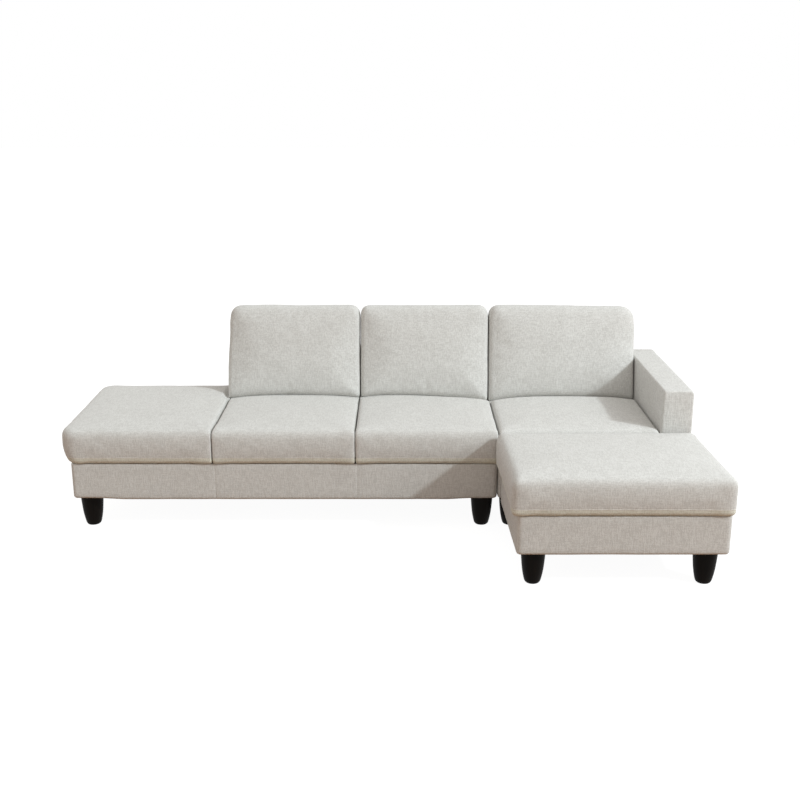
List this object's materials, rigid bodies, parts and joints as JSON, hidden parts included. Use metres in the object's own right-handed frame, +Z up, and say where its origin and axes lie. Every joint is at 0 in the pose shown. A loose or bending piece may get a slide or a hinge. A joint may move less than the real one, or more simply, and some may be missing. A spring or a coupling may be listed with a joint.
{
  "type": "sectional sofa",
  "caption": "Low sectional sofa with a backless open end, loose back cushions, one track arm and a separate ottoman that forms a chaise.",
  "frame": {"origin": "centre of the sofa's footprint box on the floor, with the ottoman pushed up to the right seat", "axes": "+X to the right end with the arm, seen from the front; +Y to the rear; +Z up"},
  "size_m": [2.661, 1.3356, 0.846],
  "materials": {
    "cushion_fabric": "woven, light grey with a fine mottle",
    "base_fabric": "woven, light grey with a fine mottle",
    "leg": "satin black-brown",
    "timber": "planed softwood",
    "webbing": "ribbed elastic webbing",
    "dust_cloth": "thin non-woven cloth",
    "steel": "zinc plated"
  },
  "bodies": {
    "sofa": {"arm_boards": "timber", "arm_bolts": "steel", "arm_cover": "base_fabric", "arm_frame": "timber", "back_bolts": "steel", "long_back_cover": "base_fabric", "long_back_posts": "timber", "long_back_rails": "timber", "long_corner_blocks": "timber", "long_cross_rails": "timber", "long_dust_cover": "dust_cloth", "long_end_rails": "timber", "long_end_skirts": "base_fabric", "long_front_skirt": "base_fabric", "long_rails": "timber", "long_rear_skirt": "base_fabric", "long_webbing": "webbing", "module_bolts": "steel", "open_end_cushion": "cushion_fabric", "seat_cushion_1": "cushion_fabric", "seat_cushion_2": "cushion_fabric", "seat_cushion_3": "cushion_fabric", "short_back_cover": "base_fabric", "short_back_posts": "timber", "short_back_rails": "timber", "short_corner_blocks": "timber", "short_dust_covers": "dust_cloth", "short_end_rails": "timber", "short_end_skirt": "base_fabric", "short_front_skirt": "base_fabric", "short_rails": "timber", "short_rear_skirt": "base_fabric", "short_webbing": "webbing", "sofa_leg_bolts": "steel", "sofa_leg_plates": "steel", "sofa_legs": "leg"},
    "ottoman": {"ottoman_corner_blocks": "timber", "ottoman_cushion": "cushion_fabric", "ottoman_dust_cover": "dust_cloth", "ottoman_end_rails": "timber", "ottoman_end_skirts": "base_fabric", "ottoman_front_skirt": "base_fabric", "ottoman_leg_bolts": "steel", "ottoman_leg_plates": "steel", "ottoman_legs": "leg", "ottoman_rails": "timber", "ottoman_rear_skirt": "base_fabric", "ottoman_webbing": "webbing"},
    "back_cushion_1": {"back_cushion_1": "cushion_fabric"},
    "back_cushion_2": {"back_cushion_2": "cushion_fabric"},
    "back_cushion_3": {"back_cushion_3": "cushion_fabric"}
  },
  "joints": [
    {"name": "ottoman_slide", "type": "slide", "parent": "sofa", "child": "ottoman", "axis": [0, -1, 0], "range_m": [0, 0.6]},
    {"name": "back_cushion_1_lift", "type": "slide", "parent": "sofa", "child": "back_cushion_1", "axis": [0, 0, 1], "range_m": [0, 0.45]},
    {"name": "back_cushion_2_lift", "type": "slide", "parent": "sofa", "child": "back_cushion_2", "axis": [0, 0, 1], "range_m": [0, 0.45]},
    {"name": "back_cushion_3_lift", "type": "slide", "parent": "sofa", "child": "back_cushion_3", "axis": [0, 0, 1], "range_m": [0, 0.45]}
  ]
}
